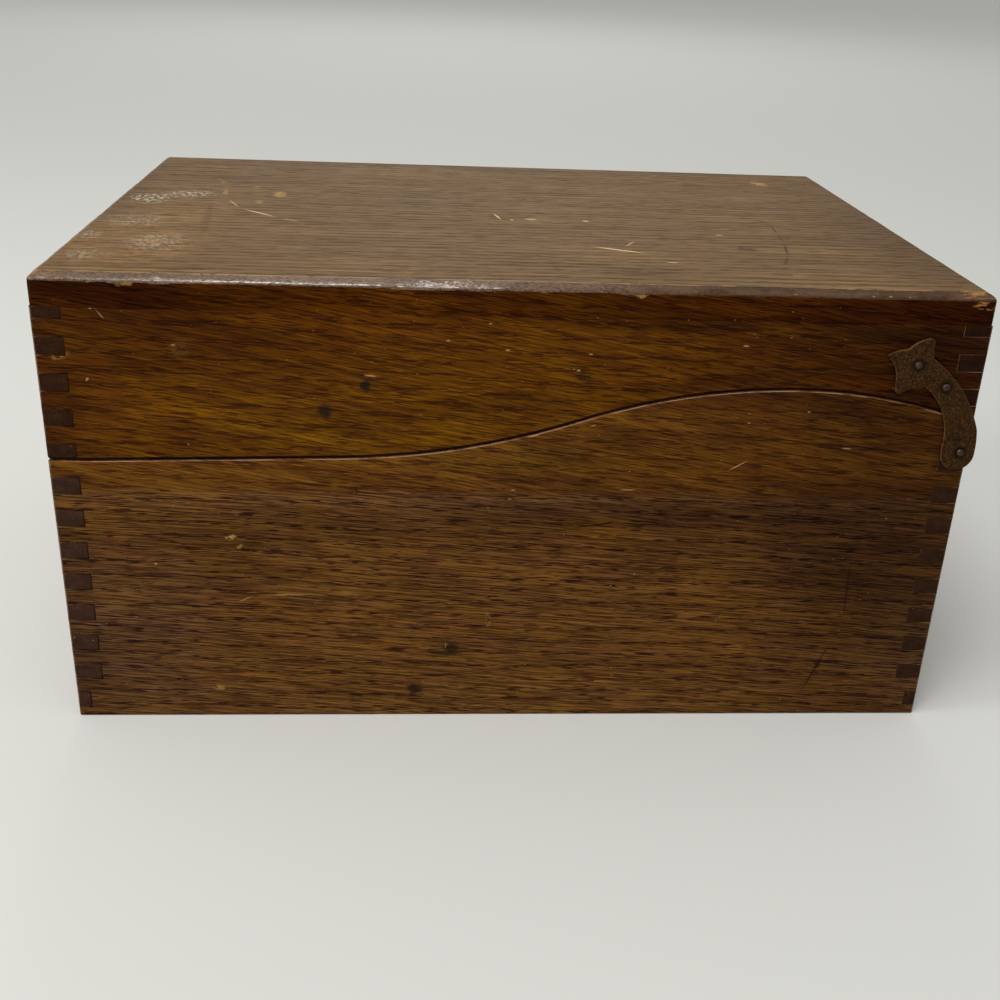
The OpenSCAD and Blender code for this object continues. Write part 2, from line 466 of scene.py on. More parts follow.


# Oak: the wood's pattern, a second board glued on above where there is one, the paler inside, end grain,
# broad stains with painted shade and light among them, single marks, and edges that are rubbed or hold
# grime, with a painted highlight and painted shadow at the lid line. The pattern is solid and runs
# through the board.
def oakMaterial(name, board):
    look = {**oak, **board}
    made, tree, shader = startMaterial(name)
    spot, (x, y, z) = places(tree)
    parts = {"x": x, "y": y, "z": z}
    along, across, through = (parts[axis] for axis in look["axes"])
    colour, fleck, fibre, tone = woodPattern(look, along, across, through)
    if "upper" in look:
        upper = woodPattern({**oak, **look["upper"]}, along, across, through)
        wander = grainNoise(spot, look["wanderSize"], 2, 0.6, 97)
        joint = look["joint"]
        share = step(scaled(wander, 3, across), joint + 0.4, joint + 2.6)
        colour = mixColour(share, colour, upper[0])
        fleck, fibre, tone = (
            scaled(share, calc("SUBTRACT", above, below), below)
            for below, above in zip((fleck, fibre, tone), upper[1:])
        )
    shade = scaled(fibre, 0.9, 0.55)
    colour = insideWood(look, parts, shade, shaded(colour, shade), fleck, tone)

    face = addNode("SeparateXYZ", addNode("TexCoord", tree=tree).outputs["Normal"]).outputs
    alongFace, outerFace = (face["xyz".index(look["axes"][part])] for part in (0, 2))
    end = step(calc("ABSOLUTE", alongFace), *look["endLevel"])
    speck = grainNoise(spot, look["speckSize"], 2, 0.6)
    smudge = grainNoise(spot, look["smudgeSize"], 2, 0.6, 19)
    endShade = scaled(smudge, 1.5, scaled(speck, 1.2, -0.35))
    endTone = shaded(paint(*look["endColour"]), endShade)
    colour = mixColour(times(end, 0.94), colour, endTone)

    flat = joinXyz(along, across)
    jogs = (grainNoise(spot, look["jogSize"], 2, 0.6, shift) for shift in (71, 83))
    jog = joinXyz(*(scaled(part, look["markJog"], -look["markJog"] / 2) for part in jogs))
    cloud = grainNoise(spot, look["cloudSize"], 3, 0.6, 23)
    outer = step(outerFace, *look["markSide"]) if "markSide" in look else 1.0
    drift = scaled(cloud, look["stainAndShadingDrift"], -look["stainAndShadingDrift"] / 2)
    moved = vectorCalc("ADD", flat, joinXyz(drift, times(drift, 0.4)))
    # dusk and shade among these are partly painted shade, and light is painted light
    for kind, stainsAndShading in look["stainsAndShading"].items():
        share = times(markField(moved, stainsAndShading, look["stainAndShadingRim"]), outer)
        tint = mixColour(share, (1, 1, 1, 1), stainAndShadingColours[kind])
        colour = mixColour(1, colour, tint, "MULTIPLY")
    if "band" in look:
        colour = edgeBand(look, spot, parts, cloud, colour)
    nick = step(grainNoise(spot, look["nickSize"], 1, 0.5, 29), *look["nickLevel"])
    colour = layered(times(nick, 0.5), colour, markColours["pale"])
    ragged = vectorCalc("ADD", flat, jog)
    plain = vectorCalc("MULTIPLY_ADD", jog, (0.2,) * 3, flat)
    for kind, marks in look["marks"].items():
        plane = ragged if kind in ("dark", *brokenMarks) else plain
        mark = times(markField(plane, marks, look["markRim"]), outer)
        if kind in brokenMarks:
            size, level = brokenMarks[kind]
            broken = grainNoise(spot, size, 3, 0.7, 31)
            mark = times(mark, step(broken, level, level + 0.08))
        colour = layered(mark, colour, markColours[kind])

    # Pale where rubbed, and on the base's rim at the lid line also a painted highlight; dark where grime
    # lies round the fingers and at the foot, and as painted shadow in the lid line's gap.
    wearAndShading = addNode("Attribute", tree=tree, attribute_name="wearAndShading").outputs["Fac"]
    patchy = step(grainNoise(spot, look["patchSize"], 3, 0.65, 41), 0.3, 0.6)
    paleEdges = times(step(wearAndShading, 0.2, 0.9), patchy, look["wearAndHighlightShare"])
    colour = layered(paleEdges, colour, look["wearAndHighlightColour"])
    colour = layered(step(wearAndShading, -0.1, -0.8, 0.9), colour, markColours["grime"])

    feed(shader.inputs["Base Color"], colour)
    rough = scaled(fleck, 0.15, look["roughness"])
    rough = scaled(end, 0.12, scaled(cloud, 0.12, rough))
    feed(shader.inputs["Roughness"], rough)
    shader.inputs["Specular IOR Level"].default_value = look["specular"]
    if look["polish"]:
        glitter = step(grainNoise(spot, look["glitterSize"], 3, 0.7, 47), 0.35, 0.6)
        near, far = look["polishFade"]
        coat = times(step(wearAndShading, 0.15, 0.7), glitter, step(x, *far, look["polish"]))
        coat = times(coat, calc("ADD", step(x, *near, 0.75), 0.25))
        feed(shader.inputs["Coat Weight"], coat)
        shader.inputs["Coat Roughness"].default_value = 0.25
        shader.inputs["Coat IOR"].default_value = 1.9
    height = scaled(fleck, -1, times(fibre, 0.5))
    height = scaled(times(end, speck), 0.25, height)
    addBump(shader, height, 0.8, look["bump"])
    return made


# The wood of the two upper boards, which run through the lid and the top strip of the base.
upperRight = {
    "seed": 6, "streakSlant": 0.22, "lineSlant": 0.19, "fleckSlant": 0.05, "lineShare": 0.62,
    "fleckLevel": (0.59, 0.65), "fleckShare": 0.75, "fleckColour": (40, 14, 4), "brightShare": 0.45,
    "ruddyColour": (82, 42, 8), "brightColour": (128, 84, 14), "streakColour": (54, 24, 4),
    "streakShare": 0.45, "toneSize": (60, 9, 9),
    "tones": [(0, (84, 46, 3)), (0.5, (97, 57, 3)), (1, (111, 68, 4))],
}
baseStrip = {
    **upperRight, "tones": [(0, (89, 52, 12)), (0.5, (106, 66, 16)), (1, (122, 79, 21))],
    "ruddyColour": (92, 49, 16), "brightColour": (133, 88, 26), "streakColour": (57, 27, 9),
    "fleckColour": (42, 16, 7),
}
upperLeft = {"seed": 7, "streakSlant": -0.16, "lineSlant": -0.12}

# What boards share. axes are along the grain, across it on the broad face, and through the board.
# insideReach is the axis, middle and half width of the box's inside. markSide is the part of the face's
# normal along the last axis at which marks start and at which they are full.
sideBoard = {"axes": "xzy", "insideReach": ("y", 0, 78)}
endBoard = {"axes": "yzx", "insideReach": ("x", -0.75, 114.6), "slot": "oak_end"}
minusFace, plusFace = {"markSide": (-0.5, -0.9)}, {"markSide": (0.5, 0.9)}

# Each board: its CAD node, body and material slot, and its own look. Stains and marks lie on the outer
# face, as markField takes them.
boards = {
    "base_side_right": {
        **sideBoard, **minusFace, "body": "base", "slot": "oak_base_side", "seed": 1,
        "streakSlant": 0.07, "upper": baseStrip, "joint": 71,
        # shade and dusk here are partly painted shade, and light is painted light
        "stainsAndShading": {
            "shade": [
                (116, 58, 105, 80, 1), (60, 64, 140, 10, 0.8), (-60, 60, 90, 9, 0.35),
                (84, 98, 72, 11, 0.9, -4), (-122, 35, 14, 60, 0.5), (105, 62, 50, 14, 0.85),
            ],
            "dusk": [
                (98, 46, 32, 46, 0.35), (100, 4, 40, 16, 0.3), (-120, 10, 26, 40, 0.25),
                (100, 94, 44, 13, 0.6, -8), (84, 64, 46, 9, 0.5), (45, 97, 40, 7, 0.4, 4),
            ],
            "olive": [(20, 82, 80, 14, 0.8)],
            "umber": [(-110, 22, 42, 45, 1), (0, 69, 170, 7, 0.6), (118, 18, 26, 36, 0.7)],
            "light": [(-60, 79, 100, 10, 0.6), (0, 5, 170, 13, 0.5)],
            "gold": [(56, 34, 26, 34, 0.5), (56, 80, 64, 10, 1), (25, 60, 18, 7, 1)],
        },
        "marks": {
            "dark": [
                (-17.5, 22.5, 3.3, 2.9, 0.8, 20), (-21, 20.6, 4.4, 1.3, 0.5, 10),
                (-27.9, 8.9, 3.2, 2.5, 0.8), (-43.6, 71.6, 0.35, 2.2, 0.7),
                (89.6, 17.5, 1.2, 2.2, 0.7, -20),
            ],
            "grime": [(94.5, 42.3, 0.45, 12.6, 0.55, 2), (89, 16, 0.5, 12, 0.65, -20)],
            "amber": [
                (-77.2, 57.3, 1.7, 1.1, 0.9), (-75, 54.6, 1, 0.8, 0.6), (-83, 9.5, 2.3, 1.4, 0.6),
                (-7.4, 32, 1.4, 2.6, 0.35, 4),
            ],
            "pale": [
                (-77, 57.5, 1.2, 0.41, 0.64), (-97.6, 49.2, 0.72, 0.45, 0.56),
                (58.5, 80.1, 3.6, 0.22, 0.8, 31), (-74.3, 38.3, 2.7, 0.2, 0.6, 22),
                (-62.6, 39.7, 9.2, 0.22, 0.6, 1.5), (-19, 23.6, 0.24, 1.27, 0.4),
                (29.1, 72.7, 2.6, 0.24, 0.6, 4), (-1.8, 72.2, 0.8, 0.26, 0.6),
                (-2.6, 69.5, 0.7, 0.24, 0.5), (87.6, 85.6, 1.8, 0.27, 0.5, -4),
                (75.8, 95.9, 0.5, 0.3, 0.6), (60.1, 92.4, 0.5, 0.27, 0.5, 16),
                (18.6, 91.1, 0.9, 0.27, 0.5, 10), (3, 87.9, 2, 0.27, 0.6, 17),
            ],
        },
    },
    "base_side_left": {
        **sideBoard, **plusFace, "body": "base", "slot": "oak_base_side", "seed": 2,
        "streakSlant": -0.08, "upper": upperLeft, "joint": 66,
        "stainsAndShading": {
            "dusk": [(122, 40, 30, 70, 0.7), (-122, 30, 24, 60, 0.6)],
            "umber": [(20, 24, 70, 24, 0.6)],
            "gold": [(-40, 50, 50, 18, 0.5)],
        },
        "marks": {
            "dark": [(-60, 31, 2, 1.5, 0.8, 10), (34, 52, 1.4, 1.2, 0.7)],
            "pale": [(-12, 44, 5, 0.22, 0.7, 24), (70, 18, 0.96, 0.38, 0.56)],
        },
    },
    "base_front": {**endBoard, "body": "base", "seed": 3, "endColour": (56, 37, 29)},
    "base_back": {**endBoard, "body": "base", "seed": 4, "endColour": (42, 25, 16)},
    "base_bottom": {"body": "base", "slot": "oak_bottom", "axes": "xyz", "seed": 5, "bare": True},
    "lid_side_right": {
        **sideBoard, **minusFace, **upperRight, "body": "lid", "slot": "oak_lid_side",
        # dusk and shade here are partly painted shade, and light is painted light
        "stainsAndShading": {
            "dusk": [
                (120, 110, 100, 60, 1), (-115, 123, 90, 17, 0.9), (0, 128, 190, 15, 0.85),
                (-124, 95, 20, 50, 0.7), (115, 122, 60, 14, 0.7), (95, 119, 70, 9, 0.6),
                (-112, 110, 60, 18, 0.4),
            ],
            "shade": [
                (98, 116, 55, 9, 0.8), (106, 100, 40, 26, 0.5), (60, 119.5, 75, 2.6, 0.7),
                (-70, 112, 60, 12, 0.2, -4),
            ],
            "ruddy": [(-70, 124, 110, 22, 0.7), (95, 100, 80, 20, 0.8), (-115, 105, 50, 40, 0.35)],
            "light": [(-45, 87, 110, 20, 1, 3)],
            "gold": [(-20, 100, 60, 18, 0.3, 5), (20, 102, 28, 8, 0.5, 8)],
        },
        "marks": {
            "dark": [
                (-40.6, 101.3, 2, 2.4, 0.95), (-39.2, 103.1, 6.2, 0.6, 0.6, -3),
                (-51.4, 94.1, 3, 2.6, 0.85), (15, 104.8, 3, 1.4, 0.7),
            ],
            "pale": [
                (-39.6, 103.8, 2, 0.25, 0.8, -3), (13.7, 106.3, 0.64, 0.45, 0.64),
                (-19.9, 113.5, 0.72, 0.3, 0.64), (-9.3, 118.3, 0.64, 0.3, 0.56),
                (-4.7, 111.4, 0.72, 0.34, 0.64), (16.6, 110.7, 0.72, 0.3, 0.64),
                (-88.5, 111, 0.72, 0.3, 0.56), (56.7, 113.7, 1.04, 0.34, 0.64),
                (-107.9, 120.1, 0.64, 0.22, 0.56), (-110.4, 101.5, 0.72, 0.38, 0.64, 60),
                (-107.4, 121.2, 2.2, 0.22, 0.4, -60), (-105.6, 118.4, 1.8, 0.2, 0.5, -52),
            ],
            "amber": [(-87.3, 110, 4, 3.6, 0.1), (-116.5, 107.8, 3, 1.5, 0.5, 5)],
        },
    },
    "lid_side_left": {
        **sideBoard, **plusFace, **upperLeft, "body": "lid", "slot": "oak_lid_side",
        "stainsAndShading": {
            "dusk": [(0, 125, 170, 10, 0.6), (-122, 100, 26, 40, 0.6), (122, 105, 30, 40, 0.6)],
            "gold": [(30, 100, 60, 14, 0.4, -5)],
        },
        "marks": {
            "dark": [(22, 108, 1.6, 1.3, 0.8)],
            "pale": [(-52, 112, 0.8, 0.3, 0.64), (61, 103, 0.72, 0.3, 0.64)],
        },
    },
    "lid_front": {
        **endBoard, **minusFace, "body": "lid", "seed": 3, "endColour": (44, 24, 15),
        "stainsAndShading": {"dusk": [(0, 125, 170, 12, 0.6)]},
    },
    "lid_back": {
        **endBoard, **plusFace, "body": "lid", "seed": 4, "endColour": (27, 12, 6),
        "stainsAndShading": {"dusk": [(0, 125, 170, 12, 0.6)]},
    },
}

# Widths of the worn or eased edges, in millimetres.
edges = {
    "corner": 0.8,
    "seamBase": 0.5,
    "seamLid": 0.75,
    "foot": 0.5,
    "finger": 0.2,
    "inner": 0.3,
    "panel": 0.1,
}
easing = {
    "steps": 3,
    "touch": 0.02,  # nearer than this is on a face, and nearer than onLine is on the lid line
    "onLine": 0.12,
    "sharpest": 30,  # degrees from which an edge is eased
    "shortest": 0.25,
}

# Where edges are pale (above 0: rubbed, with a painted highlight on the base's rim at the lid line) or dark
# (below 0: grime, with painted shadow in the lid line's gap): reaches in millimetres, and how much.
wearAndShadingSettings = {
    "lineReach": 0.7,
    "rimStart": 0.12,
    "rimFade": 0.1,
    "cornerReach": 0.9,
    "corner": 0.6,
    "hingeEnd": 105,
    "fingerReach": 0.3,
    "lidFinger": 0.38,
    "baseFinger": -0.35,
}


# How wide an edge of a board is rounded, from where its middle is and which way it runs.
def edgeWidth(middle, way, isLid):
    x, y, z = middle
    touch = easing["touch"]
    atSide = abs(abs(y) - box["sideY"]) < touch
    atEnd = min(abs(x - box["frontX"]), abs(x - box["backX"])) < touch
    if z < touch and (atSide or atEnd):
        return edges["foot"]
    if z > box["wallTop"] - touch:
        return edges["panel"]
    if atSide and atEnd and abs(way[2]) > 0.9:
        return edges["corner"]
    lift = box["sawGap"] if isLid else 0.0
    line = float(lineHeight(np.array([x - box["frontX"]]))[0])
    fromLine = min(abs(z - line), abs(z - line - lift))
    if fromLine < easing["onLine"] and abs(way[2]) < 0.5:
        return edges["inner"] if not (atSide or atEnd) else edges["seamLid" if isLid else "seamBase"]
    return edges["finger"] if atSide or atEnd else 0.0


# Above 0 on the box's rubbed corners and on the outer rim of the base's edge at the lid line, which is
# rubbed and a painted highlight; below 0 as grime round the fingers and at the foot, and as painted shadow
# of the gap in the lid line and along the lid's edge. The lid's fingers at the hinge end have pale
# outlines.
def edgeWearAndShading(x, y, z, isLid):
    fromSide = box["sideY"] - np.abs(y)
    fromEnd = np.minimum(x - box["frontX"], box["backX"] - x)
    onLine = np.abs(z - lineHeight(x - box["frontX"])) < wearAndShadingSettings["lineReach"]
    paleEdges = np.maximum(fromSide, fromEnd) < wearAndShadingSettings["cornerReach"]
    rim = (np.minimum(fromSide, fromEnd) - wearAndShadingSettings["rimStart"]) / wearAndShadingSettings["rimFade"]
    lineWearAndShading = -1.0 if isLid else np.clip(1 - rim, -1, 1)
    atHinge = (x > wearAndShadingSettings["hingeEnd"]) & (fromSide < wearAndShadingSettings["fingerReach"])
    finger = np.where(atHinge, wearAndShadingSettings["lidFinger" if isLid else "baseFinger"], -1)
    return np.where(onLine, lineWearAndShading, np.where(paleEdges, wearAndShadingSettings["corner"], finger))


# A board: the CAD node's own form with every edge eased. Its attribute of wear and painted shading is 0 on
# its flat faces, and on the eased edges what the function above gives.
def makeBoard(node, look):
    isLid = look["body"] == "lid"
    mesh = nodes[node].data.copy()
    if isLid:  # the rest at the front is lifted to the saw gap, so that the line runs through
        spots = readAll(mesh.vertices, "co", float, 3)
        spots[np.abs(spots[:, 2] / mm - box["lineFront"]) < easing["touch"], 2] += box["sawGap"] * mm
        mesh.vertices.foreach_set("co", spots.ravel())
    shape = bmesh.new()
    shape.from_mesh(mesh)
    bmesh.ops.remove_doubles(shape, verts=shape.verts, dist=1e-6)
    flatness = math.radians(0.4)
    bmesh.ops.dissolve_limit(shape, angle_limit=flatness, verts=shape.verts, edges=shape.edges)
    weights = shape.edges.layers.float.new("bevel_weight_edge")
    widest, sharpest = max(edges.values()), math.radians(easing["sharpest"])
    for edge in shape.edges:
        if not edge.is_manifold or edge.calc_face_angle() <= sharpest:
            continue
        if edge.calc_length() > easing["shortest"] * mm:
            middle = (edge.verts[0].co + edge.verts[1].co) / 2 / mm
            way = (edge.verts[1].co - edge.verts[0].co).normalized()
            edge[weights] = edgeWidth(middle, way, isLid) / widest
            edge.smooth = edge[weights] > 0
    shape.to_mesh(mesh)
    shape.free()
    piece = bpy.data.objects.new(node + "_board", mesh)
    bpy.context.scene.collection.objects.link(piece)
    mesh.materials.clear()
    for slot in range(2):  # the second one marks the eased edges
        mesh.materials.append(None)
    smoothFaces(mesh)
    mesh.polygons.foreach_set("material_index", np.zeros(len(mesh.polygons), np.int32))
    ease = piece.modifiers.new("easedEdges", "BEVEL")
    ease.width = widest * mm
    ease.segments = easing["steps"]
    ease.limit_method = "WEIGHT"
    ease.use_clamp_overlap = False
    ease.harden_normals = True
    ease.material = 1
    eased = piece.evaluated_get(bpy.context.evaluated_depsgraph_get())
    finished = bpy.data.meshes.new_from_object(eased)
    piece.modifiers.clear()
    piece.data = finished
    loopVerts = readAll(finished.loops, "vertex_index", np.int32)
    kinds = readAll(finished.polygons, "material_index", np.int32)
    totals = readAll(finished.polygons, "loop_total", np.int32)
    low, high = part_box(node)  # easing stays inside the board
    spots = np.clip(readAll(finished.vertices, "co", float, 3), np.array(low), np.array(high))
    finished.vertices.foreach_set("co", spots.ravel())
    wearAndShading = edgeWearAndShading(*(spots / mm).T, isLid)
    wearAndShading[loopVerts[np.repeat(kinds == 0, totals)]] = 0
    setWearAndShading(finished, wearAndShading)
    finished.polygons.foreach_set("material_index", np.zeros(len(kinds), np.int32))
    finished.materials.clear()
    finished.materials.append(oakMaterial(node + "_oak", look))
    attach(piece, look["body"])
    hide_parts(node)


for node, look in boards.items():
    makeBoard(node, look)
print("boards made:", len(boards))

topPanel = {
    "axes": "xyz", "seed": 10, "markSide": (0.5, 0.9),
    "tight": 1.3, "gentle": 4.4, "turn": 50, "corner": 1.8, "spacing": 1, "rowSpacing": 3,
    "chips": [(31.8, 0.35, 1.8), (126.8, 0.25, 2), (148.8, 0.5, 3), (110.4, 0.3, 3), (96, 0.2, 8)],
    "loss": [(0.07, 5, 22), (0.05, 6, 6)],  # how deep, seed and size of the edge's uneven wear
    "lossLeast": 0.08, "lossMost": 0.9, "lossLean": 0.7, "chipUneven": 0.3,
    "lossReach": (0.4, 1.6), "lossHeight": (126.2, 0.8),
    "wornReach": (0.8, 2.2), "wornHeight": (126.9, 0.3),
    "tones": [(0, (105, 79, 44)), (0.5, (110, 84, 47)), (1, (116, 89, 51))], "toneSize": (210, 30, 20),
    "ruddyColour": (108, 76, 46), "ruddySize": (30, 6, 6), "ruddyShare": 0.2, "wave": 0.6,
    "lineSize": (60, 0.62, 0.62), "lineSlant": 0, "lineShare": 0.55, "ringGap": 3.6, "ringShare": 0.26,
    "brightColour": (166, 132, 86), "brightShare": 0.45, "streakColour": (66, 46, 22),
    "streakSize": (45, 1, 1), "streakSlant": 0, "streakShare": 0.08, "gather": 0.14,
    "fleckSize": (6, 0.7, 0.6), "fleckLevel": (0.58, 0.66), "fleckSlant": 0, "fleckShare": 0.36,
    "fleckColour": (46, 30, 16), "endColour": (50, 30, 20), "wearAndHighlightColour": (132, 104, 84),
    "wearAndHighlightShare": 0.25, "specular": 0.06, "roughness": 0.42,
    "polish": 1, "polishFade": ((-110, -55), (8, -16)),
    # The band's colour is partly a painted reflection, and farColour its darker end where that fades.
    "band": {
        "width": 2.7, "uneven": 1.2, "atEnds": (1.4, 0.8), "share": 0.85, "fade": (0, 60),
        "colour": (92, 74, 62), "farColour": (52, 36, 28), "ridge": (156, 122, 84),
        "grainSize": (0.8, 0.4, 0.4), "grainShade": (4.5, -1.25), "ridgeSize": (12, 3, 3),
        "pitSize": (2.2, 0.9, 0.9),
    },
    # dusk here is partly painted shade towards the hinge end
    "stainsAndShading": {
        "dusk": [
            (126, -20, 46, 110, 0.55), (-124, 20, 14, 90, 0.35), (-90, 76, 60, 22, 0.22),
            (20, 84, 150, 20, 0.15),
        ],
    },
    "marks": {
        "orange": [
            (-104, -52, 26, 36, 0.5), (-96, -8, 18, 26, 0.35), (117, -84, 8, 5, 0.9),
            (-120, -84, 5, 4, 0.6),
        ],
        # Silvery rubbed varnish, painted as a highlight along the front edge.
        "silver": [(-22, -84.6, 15, 1.5, 0.8), (-52, -85.2, 30, 0.7, 0.4)],
        "grime": [
            (80.3, -4.1, 3.8, 0.5, 0.5, -74), (80.8, -14, 6.6, 0.55, 0.6, -95),
            (79.7, -26.3, 6.3, 0.55, 0.6, -95), (77.5, -40.3, 8.5, 0.6, 0.65, -101),
            (73.8, -54.2, 6.4, 0.6, 0.5, -109), (104.7, 42, 0.9, 1.8, 0.5, 8),
        ],
        "white": [
            (-112, 7, 8, 10, 1, 20), (-102, 15, 12, 8, 0.8, 20), (-110, -24, 11, 12, 0.4),
            (-117.5, -44, 5, 9, 0.4), (-98, -50, 11, 14, 0.5), (-114, -66, 7, 9, 0.4),
        ],
        "amber": [
            (-73.1, 18.6, 2.6, 5.5, 0.9, 8), (-90.7, 20.1, 1.3, 6, 0.6, 9),
            (-94.2, 37, 1.1, 4, 0.3, 9), (-78.2, 5.7, 1.7, 3.5, 0.6, 8),
            (-81.9, 30, 1.6, 3, 0.3, 9), (95.7, 63.2, 3.6, 5.5, 0.9, 9),
        ],
        "scratch": [
            (-75.9, -10.3, 9.2, 0.55, 0.9, -43), (-65.7, -19, 4.2, 0.5, 0.5, -34),
            (-85.4, 2.5, 7.1, 0.4, 0.5, -67), (-4, -6.1, 5.1, 0.5, 0.9, -77),
            (0.3, -10.3, 0.9, 0.8, 0.9, -25), (6.1, -8.8, 2.6, 0.9, 1, -2),
            (23, -9.4, 1.3, 0.9, 0.9, -4), (28.2, -46.3, 10.1, 0.75, 1, -25),
            (32.4, -38.6, 4.4, 0.5, 0.5, 62), (61.5, -24.2, 1.4, 0.7, 0.7, 7),
            # The marks at -85.3, along the front edge, are painted glints.
            (40.9, -59.4, 2.1, 0.6, 0.7, 3), (88.3, -85.3, 0.6, 0.5, 1),
            (92.7, -85.3, 0.6, 0.5, 1), (97.8, -85.3, 0.5, 0.5, 1), (68, -85.3, 0.8, 0.4, 0.6),
        ],
        "cloud": [
            (5.5, 22.5, 4, 1.6, 0.7, -49), (12.3, 20.1, 4.6, 2, 0.7, 8),
            (23.8, 58.6, 4.5, 2, 0.6, -3), (66.6, 20.3, 1.7, 2, 0.5, -21),
            (8.2, -66.1, 0.8, 9.7, 0.4, 5), (-90, -20, 1.6, 30, 0.4, 6),
            (65.9, -41.1, 3.4, 4.2, 1, 6), (52, 40, 3, 1.5, 0.4), (-2, -84, 2.5, 1.4, 0.9),
        ],
    },
}

# The panel's upright side under the worn edge: the lid's own wood, redder, and darker towards the hinges,
# partly as painted shade.
panelEdge = {
    "axes": "xzy", **upperRight, "endColour": (34, 18, 10), "specular": 0.02,
    # dusk and shade here are partly painted shade
    "stainsAndShading": {
        "dusk": [
            (118, 122, 95, 14, 1), (-128, 124, 60, 16, 1), (60, 120.6, 130, 2, 0.9),
            (-115, 123, 90, 17, 0.9), (0, 128, 190, 15, 0.6), (-20, 121, 40, 4, 0.6, 8),
        ],
        "shade": [(110, 124, 150, 14, 0.75), (-100, 124, 75, 12, 0.6)],
        "ruddy": [(-70, 124, 110, 22, 0.7), (100, 120, 130, 60, 0.7), (-100, 124, 60, 20, 1)],
        "crimson": [(100, 124, 150, 60, 0.4)],
    },
    "marks": {
        "orange": [(117.5, 125.5, 4.6, 2.6, 0.8, -30)],
        "amber": [(27.5, 127.2, 3.6, 1.4, 0.9), (-99, 126.8, 3.8, 1, 0.6)],
    },
}

# Its other three upright sides, and its underside.
panelRim = {
    "axes": "xzy", "seed": 11, "streakSlant": -0.05, "endColour": (54, 33, 20), "specular": 0.02,
    "stainsAndShading": {"dusk": [(0, 126, 500, 16, 0.6)]},
}
panelUnder = {"axes": "xyz", "seed": 12, "bare": True, "endColour": (50, 30, 20)}


# The panel's edge in section: up the side, round a tight arc, then over a gentle one to the top. Reach is
# the distance in from the side, rise the height.
def edgeSection():
    tight, gentle, turn = topPanel["tight"], topPanel["gentle"], math.radians(topPanel["turn"])
    low, high = np.linspace(0, turn, 6), np.linspace(turn, np.pi / 2, 7)[1:]
    middle = (tight + (gentle - tight) * math.cos(turn), box["top"] - gentle)
    shoulder = middle[1] + (gentle - tight) * math.sin(turn)
    upright = [box["wallTop"], shoulder - 1.5]
    reach = np.concatenate([[0, 0], tight - tight * np.cos(low), middle[0] - gentle * np.cos(high)])
    rise = np.concatenate([upright, shoulder + tight * np.sin(low), middle[1] + gentle * np.sin(high)])
    return reach, rise


# Places of the panel's grid lines on one axis, with the edge's section at both ends, and the height there.
def edgeLines(low, high, spacing):
    reach, rise = edgeSection()
    count = int(round((high - low - 2 * reach[-1]) / spacing))
    middle = np.linspace(low + reach[-1], high - reach[-1], count + 1)[1:-1]
    place = np.concatenate([low + reach, middle, high - reach[::-1]])
    height = np.concatenate([rise, np.full(len(middle), box["top"]), rise[::-1]])
    return place, height


# The panel is a grid over its plan whose outer lines run down the rounded edges. Plan corners are rounded
# by moving square rings onto circles, and the edges are rubbed and chipped a little.
def panelPoints():
    corner, lean = topPanel["corner"], topPanel["lossLean"]
    xs, zx = edgeLines(box["frontX"], box["backX"], topPanel["spacing"])
    ys, zy = edgeLines(-box["sideY"], box["sideY"], topPanel["rowSpacing"])
    x, y = np.meshgrid(xs, ys, indexing="ij")
    z = np.minimum(zx[:, None], zy[None, :])
    inX = np.minimum(x - box["frontX"], box["backX"] - x)
    inY = box["sideY"] - np.abs(y)
    loss = topPanel["lossLeast"]
    for depth, seed, size in topPanel["loss"]:
        loss = loss + depth * ripple(x, y, seed, size)
    for place, depth, half in topPanel["chips"]:
        near = np.exp(-(((x - box["frontX"] - place) / half) ** 4)) * (y < 0)
        loss = loss + depth * near * (1 + topPanel["chipUneven"] * ripple(x, y, 9, 2))
    onArc = nearTo(np.minimum(inX, inY), *topPanel["lossReach"]) * rising(z, *topPanel["lossHeight"])
    loss = np.clip(loss, 0, topPanel["lossMost"]) * onArc * lean
    towardY = inY <= inX
    y = y - np.where(towardY, np.sign(y) * loss, 0)
    x = x - np.where(towardY, 0, np.sign(x) * loss)
    cx = np.clip(x, box["frontX"] + corner, box["backX"] - corner)
    cy = np.clip(y, -box["sideY"] + corner, box["sideY"] - corner)
    dx, dy = x - cx, y - cy
    length = np.maximum(np.hypot(dx, dy), 1e-9)
    shrink = np.where((dx != 0) & (dy != 0), np.maximum(np.abs(dx), np.abs(dy)) / length, 1)
    return np.stack([cx + dx * shrink, cy + dy * shrink, z - loss], -1)


